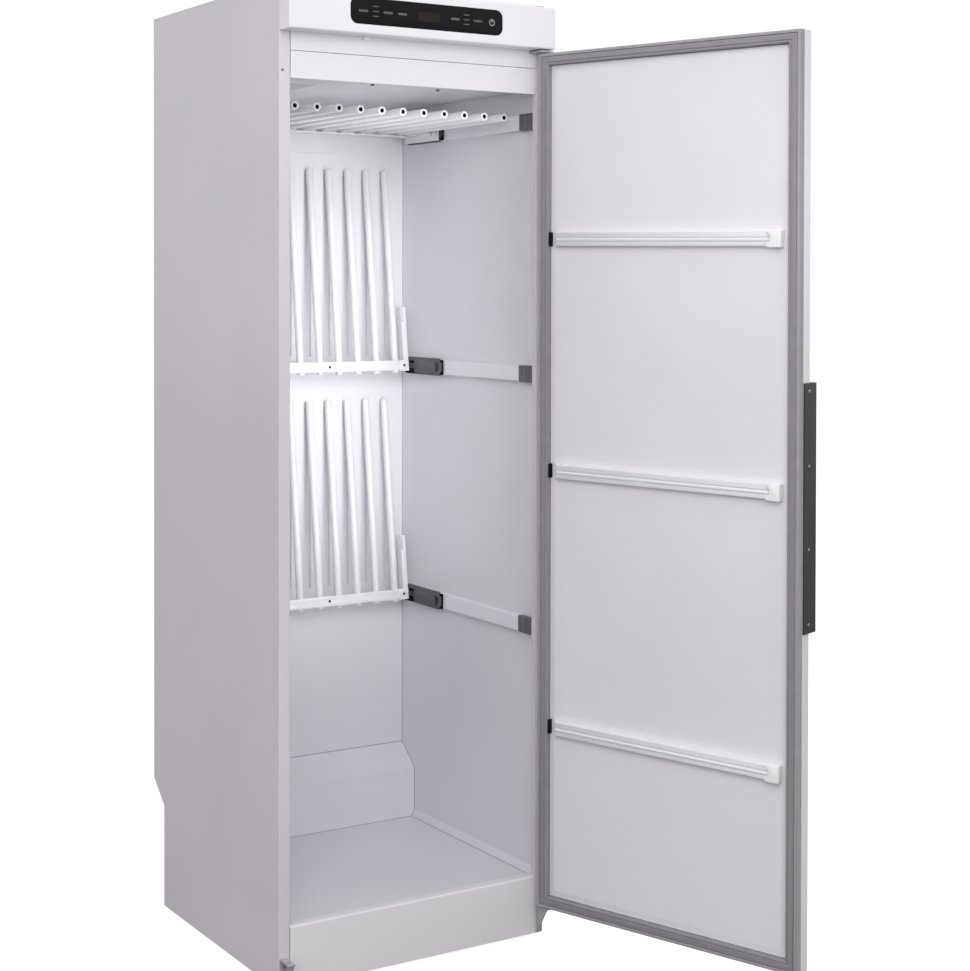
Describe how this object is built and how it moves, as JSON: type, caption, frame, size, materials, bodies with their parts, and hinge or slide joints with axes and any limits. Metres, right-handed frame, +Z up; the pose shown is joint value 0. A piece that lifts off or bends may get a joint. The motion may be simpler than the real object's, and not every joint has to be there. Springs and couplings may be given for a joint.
{
  "type": "drying cabinet",
  "caption": "Tall free-standing drying cabinet with a side-hung door, sliding and folding tube racks, control fascia, inner fan and top exhaust collar.",
  "frame": {"origin": "on the floor, under the middle of the bounding box with the door open as in the rest pose", "axes": "+X towards the hinge side, +Y towards the rear wall, +Z up"},
  "size_m": [0.8106, 1.2014, 1.938],
  "materials": {
    "white_enamel": "gloss powder coat",
    "grey_enamel": "satin powder coat",
    "lining_enamel": "satin enamel",
    "rack_enamel": "satin powder coat",
    "gasket_rubber": "matte",
    "cap_plastic": "matte",
    "white_plastic": "matte",
    "carriage_steel": "satin",
    "handle_coat": "fine textured",
    "control_glass": "gloss",
    "board_resin": "matte",
    "zinc_steel": "galvanised",
    "black_plastic": "matte",
    "motor_steel": "satin"
  },
  "bodies": {
    "cabinet": {"top_panel": "white_enamel", "plinth": "white_enamel", "lintel_lower": "white_enamel", "lintel_upper": "white_enamel", "fascia": "white_enamel", "lower_hinge_bracket": "white_enamel", "spare_hinge_bracket": "white_enamel", "upper_hinge_bracket": "white_enamel", "side_panel_left": "grey_enamel", "side_panel_right": "grey_enamel", "rear_panel": "grey_enamel", "inner_wall_left": "lining_enamel", "inner_wall_right": "lining_enamel", "inner_rear_wall": "lining_enamel", "inner_rear_step": "lining_enamel", "ceiling_panel": "lining_enamel", "floor_tray": "lining_enamel", "rear_air_cover": "lining_enamel", "rack_rail_lower_left": "rack_enamel", "rack_rail_lower_right": "rack_enamel", "rack_rail_middle_left": "rack_enamel", "rack_rail_middle_right": "rack_enamel", "rack_rail_upper_left": "rack_enamel", "rack_rail_upper_right": "rack_enamel", "door_sensor": "white_plastic", "rail_end_cap_lower_left": "cap_plastic", "rail_end_cap_lower_right": "cap_plastic", "rail_end_cap_middle_left": "cap_plastic", "rail_end_cap_middle_right": "cap_plastic", "rail_end_cap_upper_left": "cap_plastic", "rail_end_cap_upper_right": "cap_plastic", "control_glass": "control_glass", "control_board": "board_resin", "base_pan": "zinc_steel", "fan_housing": "zinc_steel", "heater_element": "zinc_steel", "exhaust_collar": "zinc_steel", "cord_gland": "black_plastic", "levelling_foot_front_left": "black_plastic", "levelling_foot_front_right": "black_plastic", "levelling_foot_rear_left": "black_plastic", "levelling_foot_rear_right": "black_plastic", "fan_motor": "motor_steel"},
    "fan": {"impeller": "black_plastic"},
    "door": {"door_outer_pan": "white_enamel", "door_inner_panel": "lining_enamel", "door_gasket": "gasket_rubber", "door_handle": "handle_coat", "door_hanger_lower": "rack_enamel", "door_hanger_middle": "rack_enamel", "door_hanger_upper": "rack_enamel"},
    "upper_rack": {"rack_upper": "rack_enamel", "rack_carriage_upper_left": "carriage_steel", "rack_carriage_upper_right": "carriage_steel"},
    "middle_carriages": {"rack_carriage_middle_left": "carriage_steel", "rack_carriage_middle_right": "carriage_steel"},
    "middle_rack": {"rack_middle": "rack_enamel"},
    "lower_carriages": {"rack_carriage_lower_left": "carriage_steel", "rack_carriage_lower_right": "carriage_steel"},
    "lower_rack": {"rack_lower": "rack_enamel"}
  },
  "joints": [
    {"name": "door_hinge", "type": "hinge", "parent": "cabinet", "child": "door", "pos_m": [0.18319, -0.03526, 0.076], "axis": [0, 0, 1], "range_deg": [-108.5, 10]},
    {"name": "upper_rack_slide", "type": "slide", "parent": "cabinet", "child": "upper_rack", "axis": [0, -1, 0], "range_m": [0, 0.297]},
    {"name": "middle_rack_slide", "type": "slide", "parent": "cabinet", "child": "middle_carriages", "axis": [0, -1, 0], "range_m": [0, 0.297]},
    {"name": "lower_rack_slide", "type": "slide", "parent": "cabinet", "child": "lower_carriages", "axis": [0, -1, 0], "range_m": [0, 0.297]},
    {"name": "middle_rack_fold", "type": "hinge", "parent": "middle_carriages", "child": "middle_rack", "pos_m": [-0.10781, 0.48774, 1.1505], "axis": [1, 0, 0], "range_deg": [0, 96.8]},
    {"name": "lower_rack_fold", "type": "hinge", "parent": "lower_carriages", "child": "lower_rack", "pos_m": [-0.10781, 0.48774, 0.634], "axis": [1, 0, 0], "range_deg": [0, 96.8]},
    {"name": "fan_spin", "type": "hinge", "parent": "cabinet", "child": "fan", "pos_m": [-0.10781, 0.42074, 1.77], "axis": [0, 0, 1], "continuous": true}
  ]
}
